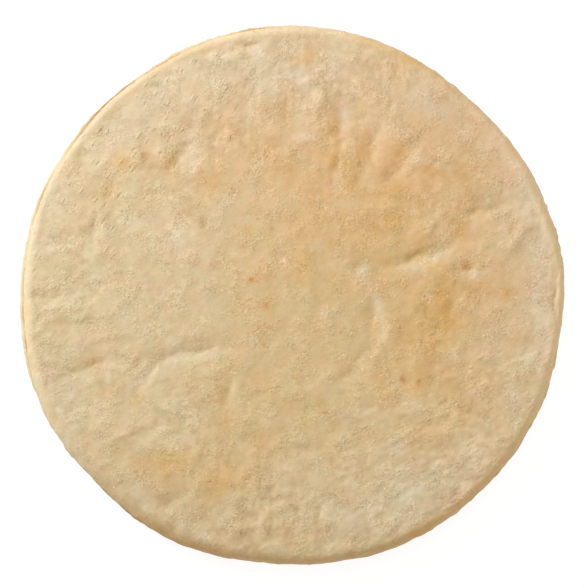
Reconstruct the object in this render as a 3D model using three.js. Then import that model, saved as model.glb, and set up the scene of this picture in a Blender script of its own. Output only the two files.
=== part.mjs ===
// A part-baked pizza base: one flat round of pale bread with a soft shoulder, a pinched seam
// under the shoulder and a thin foot that spreads a little past it.
// Millimetres, +Z up. The origin is the middle of the flat underside.

import * as THREE from 'three';
import { ImprovedNoise } from 'three/addons/math/ImprovedNoise.js';

// Driving dimensions
const DIAMETER = 254;
const RIM_HEIGHT = 10.2;
const CROWN_HEIGHT = 0.7;
const SHOULDER_WIDTH = 4.2;
const SEAM_HEIGHT = 4.2;
const SEAM_DEPTH = 0.5;
const FOOT_MEAN_WIDTH = 1.3;
const FOOT_WIDTH_SWING = 0.9;
const FOOT_WIDEST_AT = 145;
const FOOT_UNDERCUT = 1.8;

// Heights of the seam's floor, the foot's upper edge and its widest line, as shares of the seam's height
const SEAM_FLOOR_SHARE = 0.86;
const FOOT_TOP_SHARE = 0.72;
const FOOT_WIDEST_SHARE = 0.4;
// How much of the foot's width its upper edge holds back from the outline
const FOOT_TOP_INSET_SHARE = 0.3;

// Mesh density: the top is rings of points, each with six more points than the one inside it
const TOP_RINGS = 27;
const POINTS_ADDED_PER_RING = 6;
// A last narrow band, as a share of the top's radius, keeps the top level up to its edge
const EDGE_BAND_SHARE = 0.01;
const SHOULDER_ANGLES = [24, 48, 70, 90];
const UNDERSIDE_RINGS = 9;

// The outline: how far each set of lobes stands out, and the angle of one of its crests
const OUTLINE_WAVES = [
  { lobes: 2, depth: 0.8, crest: -14 },
  { lobes: 3, depth: 0.7, crest: -26 },
  { lobes: 4, depth: 0.45, crest: 4 },
  { lobes: 5, depth: 0.2, crest: 23 },
  { lobes: 8, depth: 0.25, crest: 21 },
];

// Short stretches where the outline swells or draws in: middle angle, half the spread, and how far
const OUTLINE_BULGES = [
  { at: 8, spread: 9, out: 0.5 },
  { at: 54, spread: 9, out: -0.4 },
  { at: 110, spread: 14, out: -0.5 },
  { at: 130, spread: 24, out: -0.5 },
  { at: 135, spread: 5, out: 0.4 },
  { at: 172, spread: 12, out: -0.6 },
  { at: 226, spread: 7, out: -0.4 },
  { at: 245, spread: 7, out: 1 },
  { at: 263, spread: 6, out: -0.3 },
  { at: 295, spread: 20, out: 0.7 },
  { at: 347, spread: 12, out: -0.5 },
];

// Short stretches where the foot is wider or narrower, in the same form
const FOOT_BULGES = [
  { at: 2, spread: 11, out: -1.1 },
  { at: 128, spread: 18, out: -0.7 },
  { at: 158, spread: 10, out: -0.9 },
  { at: 187, spread: 10, out: 1.1 },
  { at: 314, spread: 36, out: -1.5 },
];

// Stretches where the shoulder is tighter, in the same form
const SHOULDER_BULGES = [
  { at: 2, spread: 12, out: -1.5 },
  { at: 132, spread: 40, out: -1.3 },
];

// Radial pleats that run in from the far rim, where the dough was drawn out as it was pressed
const PLEATS = 7;
const PLEAT_FIRST_ANGLE = 50;
const PLEAT_SPACING = 12.8;
const PLEAT_MIDDLE_RADIUS = 82;
const PLEAT_LENGTH = 44;
const PLEAT_WIDTH = 6.4;
const PLEAT_DEPTH = 0.5;

// Single creases in the top: middle, run in degrees from +X, length, width and depth
const CREASES = [
  { at: [59, 18], run: 16, length: 34, width: 6, depth: 0.7 },
  { at: [38, -10], run: 97, length: 26, width: 6, depth: 0.5 },
  { at: [31, -33], run: 52, length: 22, width: 6, depth: 0.5 },
  { at: [87, 40], run: 13, length: 18, width: 5.6, depth: 0.5 },
  { at: [103, -31], run: 25, length: 20, width: 5.6, depth: 0.4 },
  { at: [82, -55], run: -22, length: 26, width: 6, depth: 0.5 },
  { at: [-112, -2], run: 0, length: 16, width: 5.2, depth: 0.6 },
  { at: [-99, -36], run: 20, length: 26, width: 5.6, depth: 0.6 },
  { at: [-91, 32], run: 84, length: 14, width: 5.2, depth: 0.5 },
  { at: [-48, -26], run: 17, length: 36, width: 6, depth: 0.7 },
  { at: [-28, -45], run: 90, length: 18, width: 6, depth: 0.6 },
  { at: [-54, -96], run: 20, length: 16, width: 6, depth: 0.4 },
];

// Blown patches and folds that stand above the rest: middle, run, length, width and height
const BLISTERS = [
  { at: [-48, -42], run: 10, length: 34, width: 24, height: 0.7 },
  { at: [-57, -84], run: 0, length: 20, width: 20, height: 0.6 },
  { at: [72, 2], run: 90, length: 36, width: 28, height: 0.4 },
  { at: [68, 62], run: -8, length: 20, width: 6.8, height: 0.5 },
  { at: [45, 40], run: 0, length: 16, width: 8, height: 0.4 },
  { at: [106, 27], run: 45, length: 18, width: 6, height: 0.5 },
  { at: [45, -24], run: 68, length: 20, width: 6.8, height: 0.5 },
  { at: [-76, -63], run: 25, length: 20, width: 6.4, height: 0.5 },
];

// Uneven rise of the dough: the span of each wave and how far it moves the surface
const DOUGH_WAVES = [
  { span: 36, depth: 0.45 },
  { span: 13, depth: 0.42 },
];

const CRUST_COLOUR = 0xd7bb8f;
const CRUST_ROUGHNESS = 0.85;

const FULL_TURN = 2 * Math.PI;
const noise = new ImprovedNoise();
const radians = THREE.MathUtils.degToRad;
const bell = (offset) => Math.exp(-offset * offset);

function swelling(angle, bulges) {
  let total = 0;
  for (const { at, spread, out } of bulges) {
    const away = Math.atan2(Math.sin(angle - radians(at)), Math.cos(angle - radians(at)));
    total += out * bell(away / radians(spread));
  }
  return total;
}

function outlineRadius(angle) {
  let radius = DIAMETER / 2 + swelling(angle, OUTLINE_BULGES);
  for (const { lobes, depth, crest } of OUTLINE_WAVES) {
    radius += depth * Math.cos(lobes * (angle - radians(crest)));
  }
  return radius;
}

// How far the foot stands past the shoulder: it swings from wide to narrow twice round the rim,
// with short stretches that depart from that
function footWidth(angle) {
  const swing = Math.cos(2 * (angle - radians(FOOT_WIDEST_AT)));
  return FOOT_MEAN_WIDTH + FOOT_WIDTH_SWING * swing + swelling(angle, FOOT_BULGES);
}

function shoulderWidth(angle) {
  return SHOULDER_WIDTH + swelling(angle, SHOULDER_BULGES);
}

function topEdgeRadius(angle) {
  return outlineRadius(angle) - footWidth(angle) - shoulderWidth(angle);
}

// A long dent or bump: full size at its middle, dying away along its run and across it
function stretchedBell(x, y, [middleX, middleY], run, halfLength, halfWidth) {
  const turn = radians(run);
  const along = (x - middleX) * Math.cos(turn) + (y - middleY) * Math.sin(turn);
  const across = (y - middleY) * Math.cos(turn) - (x - middleX) * Math.sin(turn);
  return bell(along / halfLength) * bell(across / halfWidth);
}

function pleatRelief(x, y) {
  let height = 0;
  for (let i = 0; i < PLEATS; i += 1) {
    const run = PLEAT_FIRST_ANGLE + i * PLEAT_SPACING;
    const turn = radians(run);
    const middle = [PLEAT_MIDDLE_RADIUS * Math.cos(turn), PLEAT_MIDDLE_RADIUS * Math.sin(turn)];
    height -= PLEAT_DEPTH * stretchedBell(x, y, middle, run, PLEAT_LENGTH / 2, PLEAT_WIDTH / 2);
  }
  return height;
}

function creaseRelief(x, y) {
  let height = 0;
  for (const { at, run, length, width, depth } of CREASES) {
    height -= depth * stretchedBell(x, y, at, run, length / 2, width / 2);
  }
  return height;
}

function blisterRelief(x, y) {
  let height = 0;
  for (const { at, run, length, width, height: rise } of BLISTERS) {
    height += rise * stretchedBell(x, y, at, run, length / 2, width / 2);
  }
  return height;
}

function doughRelief(x, y) {
  let height = 0;
  for (const { span, depth } of DOUGH_WAVES) {
    height += depth * noise.noise(x / span, y / span, span);
  }
  return height;
}

function topHeight(x, y) {
  const fromMiddle = Math.hypot(x, y) / (DIAMETER / 2);
  const crown = CROWN_HEIGHT * (1 - fromMiddle * fromMiddle);
  const pressed = pleatRelief(x, y) + creaseRelief(x, y);
  const risen = blisterRelief(x, y) + doughRelief(x, y);
  return RIM_HEIGHT + crown + pressed + risen;
}

function pointAt(angle, radius, height) {
  return [radius * Math.cos(angle), radius * Math.sin(angle), height];
}

function topPoint(angle, share) {
  const radius = share * topEdgeRadius(angle);
  const [x, y] = pointAt(angle, radius, 0);
  return [x, y, topHeight(x, y)];
}

// The shoulder is a quarter of an ellipse, from the edge of the top (0) down to the seam (90)
function shoulderPoint(angle, bend) {
  const [edgeX, edgeY, edgeHeight] = topPoint(angle, 1);
  const radius = Math.hypot(edgeX, edgeY) + shoulderWidth(angle) * Math.sin(radians(bend));
  const height = SEAM_HEIGHT + (edgeHeight - SEAM_HEIGHT) * Math.cos(radians(bend));
  return pointAt(angle, radius, height);
}

function seamPoint(angle) {
  const radius = outlineRadius(angle) - footWidth(angle) - SEAM_DEPTH;
  return pointAt(angle, radius, SEAM_HEIGHT * SEAM_FLOOR_SHARE);
}

function footShoulderPoint(angle) {
  const radius = outlineRadius(angle) - footWidth(angle) * FOOT_TOP_INSET_SHARE;
  return pointAt(angle, radius, SEAM_HEIGHT * FOOT_TOP_SHARE);
}

function footPoint(angle) {
  return pointAt(angle, outlineRadius(angle), SEAM_HEIGHT * FOOT_WIDEST_SHARE);
}

function undersidePoint(angle, share) {
  return pointAt(angle, share * (outlineRadius(angle) - FOOT_UNDERCUT), 0);
}

// Every ring of points, in order from the middle of the top, over the rim, to the middle of the underside
function listRings() {
  const rings = [{ count: 1, place: () => topPoint(0, 0) }];
  for (let i = 1; i < TOP_RINGS; i += 1) {
    rings.push({ count: i * POINTS_ADDED_PER_RING, place: (angle) => topPoint(angle, i / TOP_RINGS) });
  }
  const rimCount = TOP_RINGS * POINTS_ADDED_PER_RING;
  rings.push({ count: rimCount, place: (angle) => topPoint(angle, 1 - EDGE_BAND_SHARE) });
  rings.push({ count: rimCount, place: (angle) => topPoint(angle, 1) });
  for (const bend of SHOULDER_ANGLES) {
    rings.push({ count: rimCount, place: (angle) => shoulderPoint(angle, bend) });
  }
  rings.push({ count: rimCount, place: seamPoint });
  rings.push({ count: rimCount, place: footShoulderPoint });
  rings.push({ count: rimCount, place: footPoint });
  rings.push({ count: rimCount, place: (angle) => undersidePoint(angle, 1) });
  for (let i = UNDERSIDE_RINGS; i >= 1; i -= 1) {
    const share = i / (UNDERSIDE_RINGS + 1);
    rings.push({ count: i * POINTS_ADDED_PER_RING, place: (angle) => undersidePoint(angle, share) });
  }
  rings.push({ count: 1, place: () => undersidePoint(0, 0) });
  return rings;
}

// Joins two neighbouring rings by a band of triangles, stepping along whichever ring lags behind.
// A ring of one point is the tip of a fan, so it has no steps of its own.
function stitch(first, second, triangles) {
  const firstSteps = first.length > 1 ? first.length : 0;
  const secondSteps = second.length > 1 ? second.length : 0;
  let i = 0;
  let j = 0;
  while (i < firstSteps || j < secondSteps) {
    const from = first[i % first.length];
    const to = second[j % second.length];
    const secondLags = i === firstSteps || (j + 1) / secondSteps <= (i + 1) / firstSteps;
    if (j < secondSteps && secondLags) {
      j += 1;
      triangles.push(from, to, second[j % second.length]);
    } else {
      i += 1;
      triangles.push(from, to, first[i % first.length]);
    }
  }
}

function buildBaseGeometry() {
  const positions = [];
  const triangles = [];
  let previous = null;
  for (const { count, place } of listRings()) {
    const ring = [];
    for (let i = 0; i < count; i += 1) {
      ring.push(positions.length / 3);
      positions.push(...place((i / count) * FULL_TURN));
    }
    if (previous) stitch(previous, ring, triangles);
    previous = ring;
  }
  const geometry = new THREE.BufferGeometry();
  geometry.setAttribute('position', new THREE.Float32BufferAttribute(positions, 3));
  geometry.setIndex(triangles);
  return geometry;
}

// Moves the uneven round so that the middle of its box is over the origin
function centreOnOrigin(geometry) {
  geometry.computeBoundingBox();
  const middle = geometry.boundingBox.getCenter(new THREE.Vector3());
  geometry.translate(-middle.x, -middle.y, 0);
  geometry.computeVertexNormals();
}

function makePizzaBase() {
  const geometry = buildBaseGeometry();
  centreOnOrigin(geometry);
  const crust = new THREE.MeshStandardMaterial({
    name: 'crust',
    color: CRUST_COLOUR,
    roughness: CRUST_ROUGHNESS,
    metalness: 0,
  });
  const base = new THREE.Mesh(geometry, crust);
  base.name = 'pizza_base';
  return base;
}

const part = new THREE.Group();
part.add(makePizzaBase());

export default part;
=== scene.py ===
"""The looks of a plain part-baked pizza base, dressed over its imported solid. Metres, +Z up."""

import math
import random

import bmesh
import bpy
import numpy as np
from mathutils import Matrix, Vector, kdtree, noise


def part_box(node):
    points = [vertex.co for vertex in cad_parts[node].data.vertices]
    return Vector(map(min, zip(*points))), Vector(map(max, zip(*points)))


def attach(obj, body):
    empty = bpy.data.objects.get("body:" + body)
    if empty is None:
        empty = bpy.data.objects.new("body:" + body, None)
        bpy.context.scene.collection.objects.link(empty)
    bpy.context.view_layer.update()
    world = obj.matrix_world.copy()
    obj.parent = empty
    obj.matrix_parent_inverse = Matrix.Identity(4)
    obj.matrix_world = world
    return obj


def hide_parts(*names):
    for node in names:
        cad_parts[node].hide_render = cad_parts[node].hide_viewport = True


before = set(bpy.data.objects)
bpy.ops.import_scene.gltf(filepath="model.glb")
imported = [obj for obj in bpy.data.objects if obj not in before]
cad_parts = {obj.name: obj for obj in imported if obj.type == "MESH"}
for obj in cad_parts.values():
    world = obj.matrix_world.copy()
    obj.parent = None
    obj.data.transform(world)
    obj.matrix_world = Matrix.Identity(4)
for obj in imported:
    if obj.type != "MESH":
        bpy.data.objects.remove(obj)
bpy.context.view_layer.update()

NODE = "pizza_base"
MM = 0.001
LOWEST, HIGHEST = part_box(NODE)
RADIUS = (HIGHEST.x - LOWEST.x) / 2 / MM

# The skin's mesh: the distance in metres within which points merge, how often it is split finer,
# and the number of sectors in which its outline is read
MERGE_WITHIN = 0.00001
SMOOTHING_LEVELS = 2
OUTLINE_SECTORS = 360

# Where in the noise each kind of unevenness starts, so that no two follow one pattern.
# Sets that are added up start one step apart
SEED_STEP = 31.7
EAST_SEED = 3.1
NORTH_SEED = 47.9
PEBBLE_SEED = 0
TERRACE_SEED = 5.9
TERRACE_SEED_STEP = 23.1
ROUGH_SEED = 77.1
FOLD_SEED = 91.3
SMOOTH_SEED = 8.2
DIP_SEED = 5.5
RIM_LUMP_SEED = 51.9
SIDE_LUMP_SEED = 13.7
SEAM_SEED = 2.7
NOTCH_SEED = 33.3
TOOTH_SEED = 68.1
MOTTLE_SEED = 60
RIM_MOTTLE_SEED = 21.7

# Sizes from here to the studio are in millimetres where nothing else is said.
# Every run and angle is in degrees from +X

# Uneven skin: the span of each set of lumps and how far it moves the surface
PEBBLES = [(7, 0.22), (3.6, 0.2), (1.9, 0.16)]
# Blown skin that stands up in flat places with steep edges: span, height, and the noise at the top
# of an edge, which starts as far below zero
TERRACES = [(9, 0.11, 0.09), (4.6, 0.09, 0.12)]
# The middle of the top is calmer than its outer part: the radii between which that changes, and both shares
CALM_RADII = (30, 95)
CALM_SHARES = (0.6, 1.15)
# The skin is rougher or smoother in patches: the span and change of the random ones, then single ones as
# middle x, middle y, run, length, width and change, and the least share that is left
ROUGH_MOTTLE = (18, 0.5)
ROUGH_PATCHES = [
    (75, 75, -45, 60, 40, -0.5),
    (105, 15, 90, 50, 30, -0.35),
    (-75, 45, 0, 40, 36, -0.25),
    (-15, -15, 0, 40, 40, -0.3),
    (15, 45, 0, 36, 36, -0.2),
    (-75, -75, 45, 40, 34, -0.2),
    (-75, -15, 0, 36, 30, -0.2),
    (-15, -103, 0, 60, 26, 0.5),
    (75, -75, 40, 50, 40, 0.4),
    (-45, 45, 60, 44, 34, 0.4),
    (-15, -45, 0, 44, 34, 0.35),
    (-45, -45, 0, 34, 34, 0.2),
    (15, 103, 0, 50, 24, 0.2),
]
LEAST_ROUGH = 0.25
# Painted shade on the skin: its amount half way between hill and hollow, and the change in height that adds
# one full measure of it. Hollows get painted shade and hills painted light
HOLLOW_MEAN = 0.35
HOLLOW_SPAN = 0.6

# How far and over what span smooth noise pushes patches and folds sideways, so that they wander.
# Folds are pushed once more, over a shorter span, so that they are ragged
PATCH_WANDER = (5, 11)
FOLD_WANDER = (1.6, 8)
FOLD_RAGGED = (1.3, 3)
# The share by which a fold is wider on the left of its run, and narrower on the right
FOLD_LEAN = 0.25
# How fast a fold falls away from its middle line: more is crisper
FOLD_CRISP = 1.4
# All the heights in the list of folds are multiplied by this
FOLD_DEPTH = 1.35
# Folds swell and fade: the span of that and how far it changes their height
FOLD_SWELL = (6, 0.5)

# Folds in the top: middle x, middle y, run, length, width and height, which is below zero for a crease
FOLDS = [
    (-91, 31, 86, 18, 5.5, -0.8),
    (-97, 27, 10, 10, 5, -0.5),
    (-113, 23, 2, 14, 5, -0.6),
    (-80, 22, 45, 9, 6, -0.4),
    (-112, -1, 2, 20, 7, -0.9),
    (-71, 66, 88, 14, 6, 0.5),
    (-66, 58.5, 10, 12, 5, -0.4),
    (-49, 69, 73, 28, 8, -0.9),
    (-56, 58, 60, 12, 6, -0.5),
    (-66, 46.5, 12, 10, 5, -0.45),
    (-51, 50, 25, 12, 6, -0.4),
    (-84, 50, 70, 14, 7, -0.4),
    (-56, 28, 55, 9, 6, -0.5),
    (-40, 33, 60, 6, 5, -0.6),
    (-21, 80, 90, 26, 7, -0.6),
    (-32, 76, 85, 18, 6, -0.4),
    (-37, 85, 85, 14, 6, -0.35),
    (-2, 86, 90, 20, 6, -0.45),
    (-19, 116.7, 5, 9, 3, -0.7),
    (-26, 96, 40, 16, 7, -0.35),
    (13.5, 88, 82, 28, 9, 0.6),
    (7, 72, 0, 12, 6, 0.5),
    (22.5, 70, 92, 30, 7, -0.7),
    (23, 86, 88, 12, 6, -0.5),
    (38, 68, 68, 32, 9, -0.7),
    (53, 63, 52, 24, 9, -0.7),
    (68, 63.5, -10, 24, 6, 0.4),
    (20, 54, 80, 14, 7, -0.5),
    (44, 40.5, 0, 16, 8, 0.55),
    (67, 33, 60, 14, 9, 0.4),
    (74, 49, 10, 12, 6, 0.4),
    (88, 39, 14, 18, 8, -0.8),
    (59, 17, 16, 34, 9, -1),
    (31.5, 13, 10, 12, 6, -0.6),
    (84, 11.5, 6, 18, 6, -0.55),
    (104, 25, 50, 26, 8, 0.5),
    (16, 100, 5, 16, 6, 0.35),
    (-97, -10.5, 30, 10, 6, 0.5),
    (-105, -14, 5, 14, 6, -0.5),
    (-110, -29, 30, 14, 9, 0.45),
    (-102, -37, 18, 20, 8, -0.3),
    (-92, -32.5, 28, 10, 8, -0.8),
    (-86.5, -34, 92, 18, 6, -0.7),
    (-83.5, -36, 95, 14, 5, 0.4),
    (-76, -64, 27, 22, 7, 0.6),
    (-42, -26.3, 8, 26, 8, -1),
    (-60, -31.5, 40, 18, 8, -0.9),
    (-68, -40, 62, 11, 7, -0.5),
    (-28.5, -43, 84, 18, 6.5, -0.65),
    (-24, -43, 80, 18, 7, 0.35),
    (-35, -42, 90, 20, 9, 0.4),
    (-54, -96, 25, 18, 8, -0.6),
    (-62, -66, 30, 16, 12, 0.4),
    (-22, -96, 85, 16, 7, -0.5),
    (-12, -98, 85, 16, 6, -0.45),
    (3, -95, 92, 18, 6, -0.4),
    (14, -101, 85, 12, 6, -0.6),
    (38.5, -9, 92, 16, 8, -0.8),
    (31, -31, 48, 24, 7, -0.6),
    (42.5, -24, 62, 22, 8, 0.7),
    (75, -6, 70, 12, 7, -0.5),
    (36, -52, 30, 10, 6, -0.6),
    (10, -53, 5, 12, 5, -0.35),
    (7, -71.5, 0, 14, 5, -0.5),
    (25, -87, 20, 9, 5, -0.5),
    (72, -76, 55, 9, 5, -0.4),
    (82, -55, -24, 28, 7, -0.7),
    (104, -30, 25, 22, 6, -0.55),
    (124, -1, 92, 30, 4.5, -0.45),
    (120.5, 2, 92, 24, 4, 0.25),
]

# Fine ripples: middle x, middle y, radius, run, span along the ripples, span across them, and height
RIPPLES = [
    (0, 84, 46, 90, 15, 2.6, 0.2),
    (52, -86, 38, 30, 11, 2.1, 0.27),
    (-98, -8, 26, 5, 14, 2.2, 0.14),
    (84, 40, 30, 35, 12, 2.4, 0.12),
    (0, -98, 22, 90, 12, 2.2, 0.12),
]

# Pits where bubbles broke: how many are drawn, the span of their groups, the usual share that is kept
# and how far that swings from group to group, their radii and depths, and the seed of the draw
PIT_COUNT = 1000
PIT_GROUPS = 16
PIT_KEPT = (0.5, 0.9)
PIT_RADII = (0.7, 1.3)
PIT_DEPTHS = (0.07, 0.22)
PIT_SEED = 11
# How far a pit or a grain of flour reaches from its middle, in radii
SPOT_REACH = 2

# Grains of flour left on the skin: how many, their radii, how far and over what span their edges
# wander, and the seed of the draw
FLOUR_GRAINS = 36
FLOUR_RADII = (0.9, 2)
FLOUR_WANDER = (1, 1.7)
FLOUR_SEED = 4

# Short strokes in the outer skin, some nicked in and some raised: each set's middle angle,
# half its spread, run, length for its width, half its width and its height
STROKE_SETS = [
    (140, 46, 55, 3, 0.9, 1),
    (318, 40, 32, 2.4, 1.2, 0.6),
]
# The radii between which the strokes start, their spacing, and the share of places that have one:
# in a bare place, and what a crowd of pores adds
STROKE_RADII = (66, 96)
STROKE_SPACING = 2.4
STROKE_SHARES = (0.18, 0.3)
# How far, in metres, the pattern of the raised strokes is moved along from that of the nicked ones
RAISED_APART = 37 * MM

# The rim's smooth band: its width, and where it is wider as middle angle, half the spread and how much
SMOOTH_WIDTH = 3.5
SMOOTH_WIDENING = [(135, 45, 2.5)]
# The span and change of its uneven edge, the distance over which it fades out, and the share of
# the skin's lumps that it takes away
SMOOTH_UNEVEN = (14, 2)
SMOOTH_FADE = 3
SMOOTH_SHARE = 0.45
# The dip where the top's skin starts: its distance in from the outline, its width, and its stretches as
# middle angle, half the spread and depth. It is broken up: the span of that, and the noise below
# which it has a gap
RIM_DIP_AT = 8.8
RIM_DIP_WIDTH = 3.2
RIM_DIPS = [(130, 34, 0.6)]
DIP_SPAN = 7
DIP_GAPS = 0.05
# Lumps along the smooth band: the span of each set and how far it moves the surface
RIM_LUMPS = [(11, 0.3), (4.5, 0.16)]

# The side: the span of each set of lumps in it and how far it moves the surface
SIDE_LUMPS = [(8, 0.5), (3.6, 0.35), (1.8, 0.14)]
# How far the surface faces up, from 1 for straight up to -1 for straight down, where the side starts
# and where it is all side, and the heights between which its lumps come in
SIDE_FACING = (0.85, 0.35)
SIDE_HEIGHTS = (0.4, 1.5)
# The same for the relief, which is left out where the surface faces down, and for the browned underside
RELIEF_FACING = (-0.3, 0.3)
UNDERSIDE_FACING = (-0.6, -0.95)

# The seam: its height above the underside, how far above and below that its floor is looked for,
# how far out from the floor its browned line lies, and half the line's width
SEAM_HEIGHT = 3.6
SEAM_NEAR = 0.6
SEAM_SHOWS_OUT = 0.55
SEAM_WIDTH = 0.55
# The line is uneven: the span of that and its usual strength. Then its stretches as middle angle,
# half the spread and strength
SEAM_UNEVEN = (7, 0.75)
SEAM_STRETCHES = [
    (97, 4, 0.7),
    (107, 6, 0.5),
    (185, 12, 0.6),
    (243, 10, 0.45),
    (300, 40, 0.12),
]
# Browned lines along the outline: middle angle, half the spread, strength and distance in,
# then half their width and the heights between which they come in
EDGE_LINES = [
    (12.5, 3, 0.35, 0.3),
    (4, 2.5, 0.3, 0.3),
    (118, 5, 0.6, 1.6),
    (126, 5, 0.65, 1.2),
    (134, 8, 1, 0.8),
    (143, 5, 0.65, 1.5),
    (159, 6, 0.7, 1.5),
    (238, 11, 0.5, 0.3),
]
EDGE_WIDTH = 0.6
EDGE_HEIGHTS = (0.8, 1.8)

# The thin foot below the seam is ragged: the span of each set of notches and how far it moves the edge
FOOT_NOTCHES = [(15, 0.5), (5.5, 0.25)]
# Stretches with small teeth as well: their span and depth, then middle angle, half the spread and share
FOOT_TEETH = (2.7, 1.3)
TOOTHED_STRETCHES = [(15, 10, 0.6), (105, 7, 0.6)]
# The heights at which the notches are full, start to fade and end
FOOT_HEIGHTS = (0.8, 2.6, 3.5)
# The foot holds flour, so it is baked only this far
FOOT_BAKE = 0.12

# How far the skin has baked: 0 is floury and pale, 1 is toasted.
# Middle x, middle y, run, length, width and what each patch adds to the plain level
PLAIN_BAKE = 0.33
BAKED_PATCHES = [
    (48, 14, 75, 130, 96, 0.36),
    (-5, -56, 0, 120, 84, 0.24),
    (8, 62, 0, 84, 44, 0.2),
    (0, 20, 0, 50, 46, 0.15),
    (66, -18, 90, 30, 34, 0.14),
    (80, -48, 45, 40, 26, 0.19),
    (52, 50, 5, 44, 20, 0.08),
    (44, 32, 20, 34, 18, 0.16),
    (20, 66, 80, 22, 14, 0.16),
    (71, -6, 80, 32, 22, 0.26),
    (96, 4, 5, 34, 18, 0.18),
    (60, -36, 15, 30, 24, 0.2),
    (80, 60, 120, 40, 24, 0.12),
    (-15, 74, 90, 22, 14, 0.14),
    (-57, -80, 0, 30, 18, 0.16),
    (-32, -88, 40, 28, 16, 0.22),
    (-80, -78, 10, 34, 14, 0.14),
    (100, -58, 60, 26, 14, 0.12),
    (4, -112, 0, 60, 14, 0.2),
    (-38, 58, 0, 60, 50, 0.1),
    (-15, 5, 0, 34, 44, 0.15),
    (15, 45, 0, 30, 30, 0.14),
    (-45, -75, 0, 40, 30, 0.05),
    (-88, 52, 45, 64, 44, 0.13),
    (60, -76, 20, 50, 30, 0.05),
    (46, 106, -20, 40, 20, 0.08),
    (78, 15, 0, 30, 24, 0.06),
    (75, -75, 0, 30, 24, 0.06),
    (106, -14, 90, 30, 20, 0.06),
    (124, -2, 92, 34, 5, 0.3),
    (60, 105, -30, 40, 14, 0.1),
]

# Paler places where the skin dried floury, in the same form
FLOURY_PATCHES = [
    (-72, 84, 45, 104, 30, -0.18),
    (-8, 106, 0, 66, 18, -0.18),
    (64, 94, 125, 40, 16, -0.2),
    (-110, 34, 80, 44, 18, -0.08),
    (-84, 28, 0, 30, 16, -0.06),
    (116, 20, 85, 70, 16, -0.26),
    (106, 46, 75, 28, 14, -0.14),
    (117, -18, 95, 40, 14, -0.14),
    (52, -93, 25, 70, 24, -0.28),
    (27, -106, 10, 24, 14, -0.18),
    (6, -87, 0, 28, 18, -0.12),
    (-104, -52, 60, 34, 14, -0.1),
    (-56, -55, 0, 26, 20, -0.12),
    (26, -22, 100, 40, 20, -0.12),
    (36, 2, 100, 40, 14, -0.08),
    (20, -55, 0, 50, 50, -0.1),
    (0, -105, 0, 60, 20, -0.05),
]

# Small toasted or floury spots, in the same form, and how far and over what span their edges wander
BAKE_SPOTS = [
    (6, 110, 0, 11, 8, 0.5),
    (-85, 48, 20, 10, 6, 0.3),
    (-80, 62, 70, 10, 9, 0.28),
    (-68, 66, 80, 12, 5, 0.15),
    (-57, 61, 60, 9, 8, 0.3),
    (-37, 53, 90, 13, 12, 0.26),
    (20, 78, 90, 14, 5, 0.25),
    (20, 62, 90, 8, 7, 0.28),
    (32, 62, 75, 22, 5, 0.2),
    (50, 66, 60, 9, 8, 0.28),
    (49, 50, 5, 18, 7, 0.14),
    (64, 58, -10, 12, 5, 0.28),
    (80, 57, -35, 14, 6, 0.18),
    (60, 22, 80, 12, 6, 0.26),
    (45, 34, 20, 10, 7, 0.2),
    (79, 31, -60, 12, 8, 0.34),
    (71, -3, 105, 18, 6, 0.34),
    (100, 1, 80, 7, 5, 0.2),
    (-17, 7, 10, 11, 4, 0.26),
    (-13, -5, 20, 7, 4, 0.15),
    (-20, 31, 10, 8, 4, 0.25),
    (-109, -11, 60, 11, 8, 0.16),
    (-93, -32, 10, 11, 7, 0.3),
    (-87, -45, 10, 12, 6, 0.18),
    (-72, -48, 0, 6, 5, 0.4),
    (-57, -77, 0, 18, 10, 0.24),
    (-58, -88, -40, 12, 7, 0.18),
    (-34, -86, 90, 15, 12, 0.18),
    (-10, -102, 0, 7, 6, 0.2),
    (-32, -47, 90, 11, 6, 0.16),
    (14, -50, 90, 10, 5, 0.16),
    (110, -20, 90, 7, 5, 0.22),
    (5, 15, 30, 11, 7, 0.12),
    (28, -33, 70, 10, 5, 0.14),
    (-16, 113, 60, 9, 6, -0.3),
    (3, 103, 0, 13, 5, -0.25),
    (25, 83, 90, 9, 5, -0.35),
    (6, 74, -3, 9, 5, -0.4),
    (22, 54, 85, 14, 5.5, -0.4),
    (-8, 93, 10, 7, 5, -0.18),
    (-46, 62, 82, 20, 6, -0.26),
    (-14, 62, 70, 8, 5, -0.2),
    (-54, 27, 60, 10, 6, -0.3),
    (-73, 34, 10, 12, 7, -0.22),
    (-20, 35, 20, 6, 4, -0.25),
    (-28, 44, 20, 9, 4, -0.18),
    (-5, 25, 70, 7, 4, -0.2),
    (11, 23, -20, 8, 4, -0.2),
    (33, 11, 80, 8, 6, -0.4),
    (40, -4, -68, 17, 3.4, -0.42),
    (44.5, -22, 98, 14, 3.6, -0.26),
    (57, 12.5, 8, 10, 6, -0.4),
    (68, 18, 20, 13, 4.5, -0.35),
    (85, 9.5, 8, 18, 5, -0.35),
    (62, 62, -8, 22, 4, -0.3),
    (49, -71, 0, 8, 7, -0.4),
    (58, -50, 80, 10, 6, -0.2),
    (39, -55, -12, 18, 4, -0.22),
    (103, -48, 70, 11, 6, -0.22),
    (61, -90, 6, 18, 5, -0.2),
    (-71, -92, -55, 17, 6, -0.2),
    (-42, -112, -20, 10, 6, -0.3),
    (-58, -68, 15, 28, 6, -0.2),
    (-66, -38, 42, 20, 7, -0.22),
    (-44, -28, 9, 30, 5, -0.2),
    (78, -17, 10, 10, 4, -0.16),
]
SPOT_WANDER = (1.5, 4)

# Mottling of the bake: the span of each set of spots and how far it changes the bake
MOTTLES = [(12, 0.1), (6, 0.1), (3, 0.1)]

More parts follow.
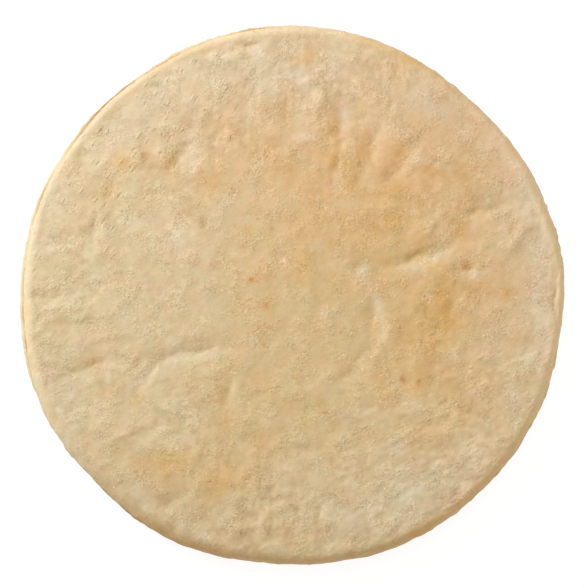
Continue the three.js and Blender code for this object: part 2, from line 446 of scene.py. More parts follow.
# Single scorched specks: middle x, middle y, radius and strength, and how far and over what span
# their edges wander
SCORCHED_SPECKS = [
    (-19, 7.4, 1.4, 0.9),
    (-11.6, 7.1, 1.1, 0.4),
    (-25, -1.5, 1.1, 0.5),
    (-22.5, 22.4, 1.1, 0.5),
    (-11.9, -5, 1.3, 0.8),
    (-13, -23, 1.2, 0.7),
    (80.9, 13.8, 1.8, 1),
    (100.3, 1.6, 1.5, 0.4),
    (51.6, -39.4, 1.5, 1),
    (59, -40.3, 1.4, 0.7),
    (64.8, -38, 1.1, 0.5),
    (-0.8, 58.4, 1.2, 0.6),
    (-36.6, 68.6, 1.1, 0.5),
]
SCORCH_WANDER = (0.6, 1.8)

# Darker places, and lighter ones below zero, as shares of a full hollow's painted shade in the same form as
# the baked patches, and how far and over what span their edges wander. Several small ones sit in creases
# and are painted shade there; the broad ones darken or lighten whole areas
SHADED_AND_DARK_PATCHES = [
    (-60, -95, -30, 60, 24, 0.35),
    (0, -107, 0, 80, 18, 0.3),
    (-10, 102, 0, 110, 30, 0.25),
    (-100, 38, 65, 90, 36, -0.2),
    (-45, 104, 20, 50, 24, -0.25),
    (-15, 76, 0, 40, 34, 0.2),
    (74, 76, 0, 34, 34, 0.25),
    (70, -40, 30, 80, 50, -0.15),
    (-57, 61, 60, 8, 5, 0.7),
    (-40, 33, 30, 5, 4, 0.7),
    (-36, 13, 0, 5, 4, 0.5),
    (64, -77, 40, 5, 4, 0.6),
    (-95, -12, 0, 6, 4, 0.6),
    (-58, -93.5, 10, 10, 6, 0.7),
    (-18.5, 116.8, 6, 8, 1.8, 1),
    (60, 105, -30, 40, 14, 0.25),
    (-85, 48, 20, 10, 6, 0.5),
    (-58, -68, 15, 24, 6, -0.5),
    (-26, 32, 0, 2.6, 2.2, 0.8),
    (-9, 31, 0, 2.6, 2.2, 0.8),
    (-58, 15, 0, 2.6, 2.2, 0.8),
    (34.5, 48.5, 0, 2.6, 2.2, 0.8),
    (87.5, 18, 0, 2.6, 2.2, 0.8),
]
DARK_PATCH_WANDER = (1.2, 4)
# Stretches of the rim's edge with painted shade on its shaded side, and painted light below zero: middle
# angle, half the spread and how much. Then the least and the most of the painted shade and patches anywhere
RIM_PAINTED_SHADE = [
    (272, 34, 0.9),
    (243, 12, 0.8),
    (221, 8, 0.4),
    (136, 22, -0.07),
    (182, 26, -0.8),
    (4, 34, -0.9),
]
PAINTED_SHADE_LIMITS = (-0.4, 2)

# The dough's hue: 0 is yellow and 1 rosy. Its usual level, and where it is rosier, in the same form
PLAIN_ROSY = 0.25
ROSY_PATCHES = [
    (15, 78, 0, 180, 92, 0.48),
    (88, 0, 90, 110, 70, 0.3),
    (-15, 12, 0, 40, 30, 0.15),
    (75, -70, 40, 50, 36, 0.15),
    (52, 58, 0, 40, 26, 0.3),
    (100, 0, 90, 26, 20, 0.12),
    (98, 70, 125, 80, 24, 0.22),
    (88, -82, 45, 40, 12, 0.25),
    (44, -18, 98, 24, 8, 0.25),
    (15, 45, 0, 34, 30, 0.12),
    (117, -14, 92, 50, 14, 0.35),
    (-40, -119, -20, 34, 10, 0.5),
    (72, -102, 35, 60, 12, 0.3),
]

# The rim's own bake, the span and change of its mottling, and stretches of its edge that are
# baked further: middle angle, half the spread and change
RIM_BAKE = 0.3
RIM_MOTTLE = (9, 0.2)
RIM_STRETCHES = [
    (64, 13, 0.4),
    (187, 12, 0.25),
    (246, 16, 0.22),
    (300, 42, 0.35),
    (136, 22, 0.05),
    (112, 10, 0.1),
    (30, 16, 0.1),
]
# The distances in from the outline between which those stretches, and the painted shade and light ones,
# come in
RIM_EDGE = (9.5, 3.5)

# The underside, browned on its tray: its bake, the span and layers of detail of its broad lumps,
# and how far those lumps and the grain change the bake
UNDERSIDE_BAKE = 0.85
UNDERSIDE_LUMPS = (16, 4)
UNDERSIDE_LUMP_BAKE = 0.8
UNDERSIDE_GRAIN_BAKE = 0.3

# Colours as they show on a screen under plain white light
FLOURY = (218.5, 207, 174)
TOASTED = (211.5, 176, 110)
ROSY_FLOURY = (228.5, 203, 174)
ROSY_TOASTED = (221.5, 172, 110)
# HOLLOW_SHADE is the painted shade of hollows, creases, pores and the rim's shaded side, and also the
# darker tone of plain skin, low grain and the dark patches
HOLLOW_SHADE = (150, 115, 65)
SCORCHED = (190, 120, 52)
SEAM_BROWN = (164, 104, 18)
# PIT_SHADE is painted shade, laid more strongly in deeper pits
PIT_SHADE = (186, 152, 106)
FLOUR_WHITE = (238, 218, 192)
CREAM = (240, 220, 182)

# The crust's fine texture. Fine noise pushes it about: the span and layers of detail of that, and how far
PUSH_NOISE = (1.3, 1)
PUSH_REACH = 1.2
# The grain, and the crowds that pores come in: span and layers of detail
GRAIN = (1.1, 1)
CROWDS = (10, 2)
# The noise up to which a place is bare, and from which it is crowded
CROWD_EDGE = (0.4, 0.64)
# Lumps of hue: span, layers of detail and how far they change the hue
HUE_LUMPS = [(8, 2, 1.5), (2.6, 1, 0.9)]
# How strong each finer layer of these lumps is beside the one before, and their middle level
FINER_LAYERS = 0.55
NOISE_MIDDLE = 0.5
# Pores, the raised collars round them, and pale dots: spacing and radii, the share of places that have one
# in a crowd, and the part of a draw over which they come in
PORE_SPACING = 1.7
PORE_RADIUS = 0.55
COLLAR_RADIUS = 1.1
DOT_SPACING = 2.1
DOT_RADIUS = 0.65
PORE_SHARE = 0.5
CHOICE_EDGE = 0.1
# How strong the texture is in a bare place, and what a crowd adds
TEXTURE_SHARES = (0.35, 1.3)
# How far the grain changes the bake
GRAIN_BAKE = 0.1
# How dark plain skin is, the painted shade that a full hollow adds, the darker tone that low grain adds,
# the painted shade that a pore adds, and the painted light on a raised stroke, which turns to painted shade
# in a nicked one
PLAIN_DULL = 0.08
PAINTED_SHADE_STRENGTH = 0.26
GRAIN_DULL = 0.5
PORE_PAINTED_SHADE = 0.16
STROKE_PAINTED_LIGHT = 0.06
# How well the pale dots cover the skin, then the marks that lie over them in turn, with their colours
DOT_COVER = 0.7
MARK_COVERS = [
    ("flour", 0.5, FLOUR_WHITE),
    # The pit mark is painted shade, darker in deeper pits
    ("pit", 0.2, PIT_SHADE),
    ("scorch", 0.8, SCORCHED),
    ("seam", 1, SEAM_BROWN),
]
# The height of the bump, and the grain, collars and pores as shares of it
BUMP_HEIGHT = 0.34
GRAIN_HEIGHT = 0.7
COLLAR_HEIGHT = 0.25
PORE_DEPTH = 0.5
# The finish: its roughness with no texture, what full texture adds, and the strength of its gloss
SMOOTH_FINISH = 0.83
ROUGH_FINISH = 0.12
SPECULAR = 0.25


def smoothstep(low, high, value):
    """0 at low, 1 at high, and smooth between; high may be the lower one."""
    share = np.clip((value - low) / (high - low), 0, 1)
    return share * share * (3 - 2 * share)


def bell(offset):
    """1 in the middle, dying away smoothly past an offset of 1."""
    return np.exp(-offset * offset)


def noise_over(points, span, seed):
    """Smooth noise of about -1 to 1 at each point, its lumps about span apart."""
    places = points / span + seed
    return np.array([noise.noise(place) for place in places.tolist()])


def layered(points, rows, seed):
    """The sum of several sets of noise, each given by its span and strength."""
    total = np.zeros(len(points))
    for step, (span, strength) in enumerate(rows):
        total += strength * noise_over(points, span, seed + step * SEED_STEP)
    return total


def wander(points, reach, span):
    """The points, each pushed sideways by smooth noise."""
    east = noise_over(points, span, EAST_SEED)
    north = noise_over(points, span, NORTH_SEED)
    return points + reach * np.stack([east, north, np.zeros(len(points))], axis=1)


def turned(points, x, y, run):
    """Distances along and across a line through x, y that runs at an angle."""
    turn = math.radians(run)
    east = points[:, 0] - x
    north = points[:, 1] - y
    along = east * math.cos(turn) + north * math.sin(turn)
    across = north * math.cos(turn) - east * math.sin(turn)
    return along, across


def patches(points, rows):
    """The sum of long soft spots, each full in its middle and fading over its length and width."""
    total = np.zeros(len(points))
    for x, y, run, length, width, amount in rows:
        along, across = turned(points, x, y, run)
        total += amount * bell(along / (length / 2)) * bell(across / (width / 2))
    return total


def from_middle(points):
    """How far each point is from the middle, seen from above."""
    return np.hypot(points[:, 0], points[:, 1])


def angles(points):
    """The angle of each point round the middle, in degrees from +X."""
    return np.degrees(np.arctan2(points[:, 1], points[:, 0])) % 360


def stretches(around, rows):
    """The sum of soft stretches of the rim, each full at its middle angle and fading over its spread."""
    total = np.zeros(len(around))
    for middle, spread, amount in rows:
        total += amount * bell(((around - middle + 180) % 360 - 180) / spread)
    return total


def radius_round(points, chosen, pick, start):
    """The least or greatest radius of the chosen points in each sector, read at every point's angle."""
    around = angles(points)
    radius = from_middle(points)
    sector = np.floor(around / 360 * OUTLINE_SECTORS).astype(int) % OUTLINE_SECTORS
    found = np.full(OUTLINE_SECTORS, float(start))
    pick.at(found, sector[chosen], radius[chosen])
    middles = (np.arange(OUTLINE_SECTORS) + 0.5) * 360 / OUTLINE_SECTORS
    return np.interp(around, middles, found, period=360)


def smooth_copy(node):
    """A finer, smoother copy of the node's mesh."""
    mesh = bpy.data.meshes.new("rough_skin")
    shape = bmesh.new()
    shape.from_mesh(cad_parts[node].data)
    bmesh.ops.remove_doubles(shape, verts=shape.verts, dist=MERGE_WITHIN)
    shape.to_mesh(mesh)
    shape.free()
    if "custom_normal" in mesh.attributes:
        mesh.attributes.remove(mesh.attributes["custom_normal"])
    rough = bpy.data.objects.new("rough_skin", mesh)
    bpy.context.collection.objects.link(rough)
    smoothing = rough.modifiers.new("smoothing", "SUBSURF")
    smoothing.levels = SMOOTHING_LEVELS
    smoothing.render_levels = SMOOTHING_LEVELS
    evaluated = rough.evaluated_get(bpy.context.evaluated_depsgraph_get())
    fine = bpy.data.meshes.new_from_object(evaluated)
    bpy.data.objects.remove(rough)
    return fine


def read_vertices(mesh, what):
    """The place or the normal of every point of the mesh, one row each."""
    values = np.empty(len(mesh.vertices) * 3, np.float32)
    mesh.vertices.foreach_get(what, values)
    return values.reshape(-1, 3).astype(float)


def write_attribute(mesh, name, values):
    """Writes one number for every point of the mesh, under a name that the material can read."""
    attribute = mesh.attributes.new(name, "FLOAT", "POINT")
    attribute.data.foreach_set("value", values.astype(np.float32))


def pebble_relief(points):
    """The skin's small lumps, and blown places that stand half their height above and below the rest."""
    relief = layered(points, PEBBLES, PEBBLE_SEED)
    for index, (span, height, edge) in enumerate(TERRACES):
        lift = noise_over(points, span, TERRACE_SEED + index * TERRACE_SEED_STEP)
        relief += height * (smoothstep(-edge, edge, lift) - 0.5)
    return relief


def pebble_strength(points):
    """How strong the skin's small lumps are at each point: 1 is usual."""
    inner, outer = CALM_SHARES
    calm = inner + (outer - inner) * smoothstep(*CALM_RADII, from_middle(points))
    span, change = ROUGH_MOTTLE
    share = 1 + change * noise_over(points, span, ROUGH_SEED) + patches(points, ROUGH_PATCHES)
    return calm * np.maximum(share, LEAST_ROUGH)


def fold_relief(points):
    """Folds and creases: each has a crisp middle line, and is steeper on the right of its run."""
    ragged = wander(wander(points, *FOLD_WANDER), *FOLD_RAGGED)
    relief = np.zeros(len(points))
    for x, y, run, length, width, height in FOLDS:
        along, across = turned(ragged, x, y, run)
        reach = width / 2 * (1 + FOLD_LEAN * np.sign(across))
        relief += height * bell(along / (length / 2)) * np.exp(-FOLD_CRISP * np.abs(across) / reach)
    span, change = FOLD_SWELL
    return FOLD_DEPTH * relief * (1 + change * noise_over(points, span, FOLD_SEED))


def ripple_relief(points):
    """Patches of drawn-out noise. The middle x of each patch is also where its noise starts."""
    relief = np.zeros(len(points))
    for x, y, radius, run, along_span, across_span, height in RIPPLES:
        along, across = turned(points, x, y, run)
        places = np.stack([along / along_span, across / across_span, np.zeros(len(points))], axis=1)
        near = bell(np.hypot(along, across) / radius)
        relief += height * near * noise_over(places, 1, x)
    return relief


def scatter(points, count, radii, seed):
    """Draws round spots over the top.

    For each it gives a random number, its middle, and the points in it with how far they have faded.
    """
    draw = random.Random(seed)
    tree = kdtree.KDTree(len(points))
    for index, point in enumerate(points.tolist()):
        tree.insert(point, index)
    tree.balance()
    for _ in range(count):
        reach = RADIUS * math.sqrt(draw.random())
        turn = draw.uniform(0, math.tau)
        radius = draw.uniform(*radii)
        middle = Vector((reach * math.cos(turn), reach * math.sin(turn), HIGHEST.z / MM))
        spot, _, _ = tree.find(middle)
        near = tree.find_range(spot, radius * SPOT_REACH)
        fading = [(index, math.exp(-(away / radius) ** 2)) for _, index, away in near]
        yield draw.random(), spot, fading


def pit_depths(points):
    """How deep the broken bubbles go: they come in groups, so noise thins them out."""
    shallowest, deepest = PIT_DEPTHS
    usual, swing = PIT_KEPT
    depth = np.zeros(len(points))
    for chance, spot, near in scatter(points, PIT_COUNT, PIT_RADII, PIT_SEED):
        kept = usual + swing * noise.noise(spot / PIT_GROUPS)
        if chance < kept:
            middle_depth = shallowest + (deepest - shallowest) * chance
            for index, fading in near:
                depth[index] = max(depth[index], middle_depth * fading)
    return depth


def flour_grains(points):
    """How well grains of flour cover each point."""
    cover = np.zeros(len(points))
    uneven = wander(points, *FLOUR_WANDER)
    for chance, _, near in scatter(uneven, FLOUR_GRAINS, FLOUR_RADII, FLOUR_SEED):
        for index, fading in near:
            cover[index] = max(cover[index], chance * fading)
    return cover


def scorched(points):
    """How strongly the scorched specks show at each point."""
    uneven = wander(points, *SCORCH_WANDER)
    cover = np.zeros(len(points))
    for x, y, radius, strength in SCORCHED_SPECKS:
        away = np.hypot(uneven[:, 0] - x, uneven[:, 1] - y)
        cover = np.maximum(cover, strength * bell(away / radius))
    return cover


def rim_band(points, around, inset):
    """1 on the smooth band along the outline, and 0 on the rest of the top."""
    span, change = SMOOTH_UNEVEN
    width = SMOOTH_WIDTH + stretches(around, SMOOTH_WIDENING)
    width += change * noise_over(points, span, SMOOTH_SEED)
    return smoothstep(width + SMOOTH_FADE, width, inset)


def rim_dip(points, around, inset):
    """How deep the broken dip goes where the top's skin starts."""
    depth = stretches(around, RIM_DIPS) * bell((inset - RIM_DIP_AT) / (RIM_DIP_WIDTH / 2))
    return depth * np.maximum(0, noise_over(points, DIP_SPAN, DIP_SEED) - DIP_GAPS)


def foot_notches(points, around):
    """How far the ragged foot is pushed out or drawn in."""
    notches = layered(points, FOOT_NOTCHES, NOTCH_SEED)
    span, depth = FOOT_TEETH
    notches += depth * noise_over(points, span, TOOTH_SEED) * stretches(around, TOOTHED_STRETCHES)
    bottom, foot_shoulder, foot_top = FOOT_HEIGHTS
    height = points[:, 2]
    return notches * smoothstep(0, bottom, height) * smoothstep(foot_top, foot_shoulder, height)


def baked(points, around, inset, rim):
    """How far the skin has baked at each point, from floury to toasted."""
    wandering = wander(points, *PATCH_WANDER)
    level = PLAIN_BAKE + patches(wandering, BAKED_PATCHES + FLOURY_PATCHES)
    level += patches(wander(points, *SPOT_WANDER), BAKE_SPOTS)
    level += layered(wandering, MOTTLES, MOTTLE_SEED)
    span, change = RIM_MOTTLE
    rim_level = RIM_BAKE + change * noise_over(points, span, RIM_MOTTLE_SEED)
    rim_level += stretches(around, RIM_STRETCHES) * smoothstep(*RIM_EDGE, inset)
    level += (rim_level - level) * rim
    _, foot_shoulder, foot_top = FOOT_HEIGHTS
    on_foot = smoothstep(foot_top, foot_shoulder, points[:, 2])
    return level + (FOOT_BAKE - level) * on_foot


def painted_shade_and_patches(points, around, inset, hills):
    """Painted shade over the skin: light on its hills and dark in its hollows, with dark patches and
    painted shade and light on stretches of the rim.
    """
    level = HOLLOW_MEAN - hills
    level += patches(wander(points, *DARK_PATCH_WANDER), SHADED_AND_DARK_PATCHES)
    level += stretches(around, RIM_PAINTED_SHADE) * smoothstep(*RIM_EDGE, inset)
    return np.clip(level, *PAINTED_SHADE_LIMITS)


def seam_line(points, around, inset):
    """How strongly the browned line in the seam, or along the outline, shows at each point."""
    radius = from_middle(points)
    above = points[:, 2] - SEAM_HEIGHT
    at_seam = radius_round(points, np.abs(above) < SEAM_NEAR, np.minimum, RADIUS)
    span, usual = SEAM_UNEVEN
    uneven = usual + noise_over(points, span, SEAM_SEED)
    away = np.hypot(radius - at_seam - SEAM_SHOWS_OUT, above)
    line = bell(away / SEAM_WIDTH) * stretches(around, SEAM_STRETCHES) * uneven
    raised = smoothstep(*EDGE_HEIGHTS, points[:, 2])
    for middle, spread, strength, distance in EDGE_LINES:
        along_edge = stretches(around, [(middle, spread, strength)]) * raised
        line = np.maximum(line, along_edge * bell((inset - distance) / EDGE_WIDTH))
    return line


def stroke_marks(points, around):
    """How high each set of short strokes stands at each point."""
    outer = smoothstep(*STROKE_RADII, from_middle(points))
    marks = {}
    for index, (middle, spread, _, _, _, height) in enumerate(STROKE_SETS):
        marks[f"strokes_{index}"] = stretches(around, [(middle, spread, height)]) * outer
    return marks


def shape_skin(mesh):
    """Adds the fine relief that the plain solid leaves out, and writes where the skin's marks lie."""
    points = read_vertices(mesh, "co") / MM
    normals = read_vertices(mesh, "normal")
    facing_up = normals[:, 2]
    around = angles(points)
    everywhere = np.ones(len(points), bool)
    inset = radius_round(points, everywhere, np.maximum, 0) - from_middle(points)
    side = smoothstep(*SIDE_FACING, facing_up) * smoothstep(*SIDE_HEIGHTS, points[:, 2])
    rim = rim_band(points, around, inset)
    lively = 1 - SMOOTH_SHARE * rim
    pebbles = pebble_relief(points) * pebble_strength(points)
    pits = pit_depths(points) * (1 - rim)

    marks = {
        "bake": baked(points, around, inset, rim),
        "rough": 1 - SMOOTH_SHARE * rim * (1 - side),
        # Painted shade: darker in hollows and lighter on hills, with dark patches and painted shade and
        # light along the rim
        "hollow": painted_shade_and_patches(points, around, inset, pebbles / HOLLOW_SPAN * lively),
        "rosy": PLAIN_ROSY + patches(points, ROSY_PATCHES),
        "pit": pits / PIT_DEPTHS[1],
        "flour": flour_grains(points) * (1 - rim),
        "scorch": scorched(points),
        **stroke_marks(points, around),
        "seam": seam_line(points, around, inset),
        "underside": smoothstep(*UNDERSIDE_FACING, facing_up),
    }
    for name, values in marks.items():
        write_attribute(mesh, name, values)

    relief = (pebbles + ripple_relief(points) - pits) * lively
    relief += layered(points, RIM_LUMPS, RIM_LUMP_SEED) * rim
    relief -= rim_dip(points, around, inset)
    relief += fold_relief(points)
    relief += layered(points, SIDE_LUMPS, SIDE_LUMP_SEED) * side
    relief *= smoothstep(*RELIEF_FACING, facing_up)
    outward = points * (1, 1, 0) / np.maximum(from_middle(points), 1)[:, None]
    points += normals * relief[:, None] + outward * foot_notches(points, around)[:, None]
    points[:, 2] = np.maximum(points[:, 2], 0)
    mesh.vertices.foreach_set("co", (points * MM).astype(np.float32).ravel())
    mesh.update()


class Wire:
    """An output of a material's nodes. Arithmetic on wires and numbers adds Math nodes."""

    def __init__(self, tree, socket=None):
        self.tree = tree
        self.socket = socket

    def node(self, kind, settings, inputs, output=0):
        """Adds a node, sets it up, gives it its input values or links, and returns one output."""
        made = self.tree.nodes.new(kind)
        for name, value in settings.items():
            setattr(made, name, value)
        for key, value in inputs.items():
            if isinstance(value, Wire):
                self.tree.links.new(value.socket, made.inputs[key])
            else:
                made.inputs[key].default_value = value
        return Wire(self.tree, made.outputs[output])

    def maths(self, operation, first, second):
        return self.node("ShaderNodeMath", {"operation": operation}, {0: first, 1: second})

    def __add__(self, other):
        return self.maths("ADD", self, other)

    def __radd__(self, other):
        return self.maths("ADD", other, self)

    def __sub__(self, other):
        return self.maths("SUBTRACT", self, other)

    def __rsub__(self, other):
        return self.maths("SUBTRACT", other, self)

    def __mul__(self, other):
        return self.maths("MULTIPLY", self, other)

    def __rmul__(self, other):
        return self.maths("MULTIPLY", other, self)

    def step(self, low, high):
        """0 below low, 1 above high, and smooth between; high may be the lower one."""
        settings = {"interpolation_type": "SMOOTHSTEP"}
        return self.node("ShaderNodeMapRange", settings, {"Value": self, "From Min": low, "From Max": high})

    def mix(self, first, second):
        """The first colour where this is 0 and the second where it is 1."""
        return self.node("ShaderNodeMix", {"data_type": "RGBA"}, {0: self, 6: first, 7: second}, 2)


def colour(shown):
    """A screen colour of 0 to 255 as the shader's linear colour, by the usual screen curve."""
    linear = []
    for value in shown:
        share = value / 255
        linear.append(share / 12.92 if share <= 0.04045 else ((share + 0.055) / 1.055) ** 2.4)
    return (*linear, 1)


def mark(start, name):
    """One of the marks that were written on the skin's mesh."""
    return start.node("ShaderNodeAttribute", {"attribute_name": name}, {}, "Fac")


def pushed(start, place):
    """The place, pushed about by fine noise, so that the grain and the pores are uneven."""
    span, detail = PUSH_NOISE
    inputs = {"Vector": place, "Scale": 1 / (span * MM), "Detail": detail}
    shift = start.node("ShaderNodeTexNoise", {}, inputs, "Color")
    reach = (PUSH_REACH * MM,) * 3
    settings = {"operation": "MULTIPLY_ADD"}
    return start.node("ShaderNodeVectorMath", settings, {0: shift, 1: reach, 2: place})


def lumps(start, place, span, detail):
    """Noise of 0 to 1 whose lumps are span millimetres apart."""
    inputs = {"Vector": place, "Scale": 1 / (span * MM), "Detail": detail, "Roughness": FINER_LAYERS}
    return start.node("ShaderNodeTexNoise", {}, inputs, "Fac")


def pores(start, place, spacing, share, radius):
    """1 in the middle of each pore and 0 outside, for the given share of cells that have a pore."""
    inputs = {"Vector": place, "Scale": 1 / (spacing * MM), "Randomness": 1}
    away = start.node("ShaderNodeTexVoronoi", {}, inputs, "Distance")
    draw = start.node("ShaderNodeTexVoronoi", {}, inputs, "Color")
    red = start.node("ShaderNodeSeparateColor", {}, {"Color": draw}, "Red")
    chosen = (red + share).step(1, 1 + CHOICE_EDGE)
    return away.step(radius / spacing, 0) * chosen


def stroke_heights(start, place, share):
    """How high the short strokes stand, below 0 where they are nicked in.

    The share says how many of the places for a stroke have one.
    """
    total = 0
    for index, (_, _, run, stretch, half_width, _) in enumerate(STROKE_SETS):
        strokes = []
        for moved in (RAISED_APART, 0):
            inputs = {
                "Vector": place,
                "Location": (moved, 0, 0),
                "Rotation": (0, 0, math.radians(run)),
                "Scale": (stretch, 1, 1),
            }
            drawn_out = start.node("ShaderNodeMapping", {"vector_type": "TEXTURE"}, inputs)
            strokes.append(pores(start, drawn_out, STROKE_SPACING, share, half_width))
        raised, nicked = strokes
        total = total + (raised - nicked) * mark(start, f"strokes_{index}")
    return total


def crust_bake(start, place, grain, texture):
    """How far the crust has baked, with the grain in it and a browner underside."""
    upper = mark(start, "bake") + (grain - NOISE_MIDDLE) * GRAIN_BAKE * texture
    broad = lumps(start, place, *UNDERSIDE_LUMPS)
    under = UNDERSIDE_BAKE + (broad - NOISE_MIDDLE) * UNDERSIDE_LUMP_BAKE
    under = under + (grain - NOISE_MIDDLE) * UNDERSIDE_GRAIN_BAKE
    return upper + (under - upper) * mark(start, "underside")


def dough_colour(start, place, bake):
    """Floury to toasted by the bake, and yellow to rosy by the hue."""
    hue = 0
    for span, detail, change in HUE_LUMPS:
        hue = hue + (lumps(start, place, span, detail) - NOISE_MIDDLE) * change
    yellow_dough = bake.mix(colour(FLOURY), colour(TOASTED))
    rosy_dough = bake.mix(colour(ROSY_FLOURY), colour(ROSY_TOASTED))
    return (mark(start, "rosy") + hue).mix(yellow_dough, rosy_dough)


def crust_material():
    """Dry baked dough with grain, pores in crowds, pale dots, short strokes, the skin's marks and painted
    shade and light.
    """
    material = bpy.data.materials.new("crust")
    material.use_nodes = True
    tree = material.node_tree
    shader = tree.nodes["Principled BSDF"]
    start = Wire(tree)
    place = start.node("ShaderNodeTexCoord", {}, {}, "Object")
    uneven = pushed(start, place)
    grain = lumps(start, uneven, *GRAIN)
    crowd = lumps(start, place, *CROWDS).step(*CROWD_EDGE)
    fine_pores = pores(start, uneven, PORE_SPACING, crowd * PORE_SHARE, PORE_RADIUS)
    collars = pores(start, uneven, PORE_SPACING, crowd * PORE_SHARE, COLLAR_RADIUS)
    dots = pores(start, uneven, DOT_SPACING, crowd * PORE_SHARE, DOT_RADIUS)
    bare_texture, crowd_texture = TEXTURE_SHARES
    texture = mark(start, "rough") * (bare_texture + crowd * crowd_texture)
    bare_strokes, crowd_strokes = STROKE_SHARES
    strokes = stroke_heights(start, uneven, crowd * crowd_strokes + bare_strokes)

    skin = dough_colour(start, place, crust_bake(start, place, grain, texture))
    # Painted shade in hollows and pores and painted light on raised strokes, with darker tone from low
    # grain, all mixed toward HOLLOW_SHADE
    fine_shade_and_tone = (NOISE_MIDDLE - grain) * GRAIN_DULL + fine_pores * PORE_PAINTED_SHADE
    shade_and_tone = mark(start, "hollow") * PAINTED_SHADE_STRENGTH + PLAIN_DULL + fine_shade_and_tone * texture
    shade_and_tone = shade_and_tone - strokes * STROKE_PAINTED_LIGHT
    skin = shade_and_tone.mix(skin, colour(HOLLOW_SHADE))
    skin = (dots * DOT_COVER).mix(skin, colour(CREAM))
    for name, cover, shade in MARK_COVERS:
        skin = (mark(start, name) * cover).mix(skin, colour(shade))

    height = (grain * GRAIN_HEIGHT + collars * COLLAR_HEIGHT - fine_pores * PORE_DEPTH) * texture + strokes
    inputs = {"Strength": 1, "Distance": BUMP_HEIGHT * MM, "Height": height}
    bump = start.node("ShaderNodeBump", {}, inputs, "Normal")
    roughness = SMOOTH_FINISH + mark(start, "rough") * ROUGH_FINISH

    tree.links.new(skin.socket, shader.inputs["Base Color"])
    tree.links.new(roughness.socket, shader.inputs["Roughness"])
    tree.links.new(bump.socket, shader.inputs["Normal"])
    shader.inputs["Specular IOR Level"].default_value = SPECULAR
    return material


def make_skin():
    """The dressed skin, which stands for the plain solid."""
    mesh = smooth_copy(NODE)
    mesh.name = "crust_skin"
    shape_skin(mesh)
    mesh.shade_smooth()
    mesh.materials.clear()
    mesh.materials.append(crust_material())
    skin = bpy.data.objects.new("crust_skin", mesh)
    bpy.context.collection.objects.link(skin)
    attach(skin, "root")
    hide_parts(NODE)


# The studio, in metres: a round floor whose edge curves up into a low wall, just below the underside.
# It is pale because it glows
FLOOR_RADIUS = 2.4
WALL_CURVE = 0.6
CURVE_STEPS = 12
ROUND_STEPS = 96
FLOOR_DROP = 0.0001
FLOOR_SHADE = 0.2
FLOOR_GLOW = 0.86
FLOOR_ROUGHNESS = 0.9
# Each light: azimuth and elevation in degrees, distance, width, watts and colour
KEY_LIGHT = (140, 25, 1.5, 0.35, 14.8, (0.83, 1, 1.3))
SOFT_PANEL = (108, 58, 0.7, 0.5, 1.4, (1, 1, 1))
SKY_STRENGTH = 0.56
SKY_COLOUR = (1.08, 1, 0.85)

# The camera looks straight down: the photograph's width in pixels, the size of one at the outline,
# the heights of the outline and the camera, and how far the camera is off the middle
PHOTO_WIDTH = 584
PIXEL = 0.4686 * MM
OUTLINE_HEIGHT = 2 * MM
CAMERA_HEIGHT = 1.2
CAMERA_OFFSET = (0.22 * MM, 0.54 * MM)
SENSOR_WIDTH = 36


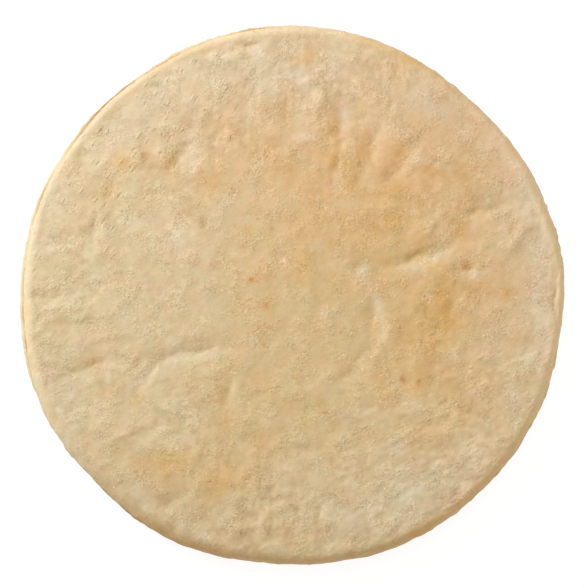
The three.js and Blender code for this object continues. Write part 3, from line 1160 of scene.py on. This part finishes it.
def make_floor():
    """A pale floor: a line with a quarter circle at its end, turned round the middle.

    It is seen from inside its low wall, so its faces are turned to point up and in.
    """
    shape = bmesh.new()
    middle = shape.verts.new((0, 0, 0))
    edge = shape.verts.new((FLOOR_RADIUS, 0, 0))
    shape.edges.new((middle, edge))
    curve_middle = (FLOOR_RADIUS, 0, WALL_CURVE)
    bmesh.ops.spin(
        shape, geom=[edge], cent=curve_middle, axis=(0, -1, 0), angle=math.pi / 2, steps=CURVE_STEPS)
    bmesh.ops.spin(
        shape, geom=shape.verts[:] + shape.edges[:], cent=(0, 0, 0), axis=(0, 0, 1),
        angle=math.tau, steps=ROUND_STEPS, use_merge=True)
    bmesh.ops.remove_doubles(shape, verts=shape.verts, dist=MERGE_WITHIN)
    bmesh.ops.recalc_face_normals(shape, faces=shape.faces)
    bmesh.ops.reverse_faces(shape, faces=shape.faces)
    bmesh.ops.translate(shape, verts=shape.verts, vec=(0, 0, -FLOOR_DROP))
    mesh = bpy.data.meshes.new("floor")
    shape.to_mesh(mesh)
    shape.free()
    material = bpy.data.materials.new("floor")
    material.use_nodes = True
    shader = material.node_tree.nodes["Principled BSDF"]
    shader.inputs["Base Color"].default_value = (FLOOR_SHADE, FLOOR_SHADE, FLOOR_SHADE, 1)
    shader.inputs["Roughness"].default_value = FLOOR_ROUGHNESS
    shader.inputs["Emission Color"].default_value = (1, 1, 1, 1)
    shader.inputs["Emission Strength"].default_value = FLOOR_GLOW
    mesh.materials.append(material)
    floor = bpy.data.objects.new("floor", mesh)
    bpy.context.collection.objects.link(floor)


def make_light(name, azimuth, elevation, distance, width, watts, tint):
    """A round soft light that faces the middle of the base."""
    turn = math.radians(azimuth)
    climb = math.radians(elevation)
    level = distance * math.cos(climb)
    place = Vector((level * math.cos(turn), level * math.sin(turn), distance * math.sin(climb)))
    light = bpy.data.lights.new(name, "AREA")
    light.shape = "DISK"
    light.size = width
    light.energy = watts
    light.color = tint
    lamp = bpy.data.objects.new(name, light)
    lamp.location = place
    lamp.rotation_euler = (-place).to_track_quat("-Z", "Y").to_euler()
    bpy.context.collection.objects.link(lamp)


def make_sky():
    """Even light from all round."""
    world = bpy.data.worlds.new("studio")
    world.use_nodes = True
    sky = world.node_tree.nodes["Background"]
    sky.inputs["Color"].default_value = (*SKY_COLOUR, 1)
    sky.inputs["Strength"].default_value = SKY_STRENGTH
    bpy.context.scene.world = world


def make_camera():
    """A camera whose lens gives the photograph's scale at the outline."""
    lens = bpy.data.cameras.new("camera")
    lens.sensor_fit = "HORIZONTAL"
    lens.sensor_width = SENSOR_WIDTH
    lens.lens = SENSOR_WIDTH * (CAMERA_HEIGHT - OUTLINE_HEIGHT) / (PHOTO_WIDTH * PIXEL)
    camera = bpy.data.objects.new("camera", lens)
    camera.location = (*CAMERA_OFFSET, CAMERA_HEIGHT)
    bpy.context.collection.objects.link(camera)
    bpy.context.scene.camera = camera


make_skin()
make_floor()
make_light("key", *KEY_LIGHT)
make_light("soft_panel", *SOFT_PANEL)
make_sky()
make_camera()
bpy.context.scene.view_settings.view_transform = "Standard"
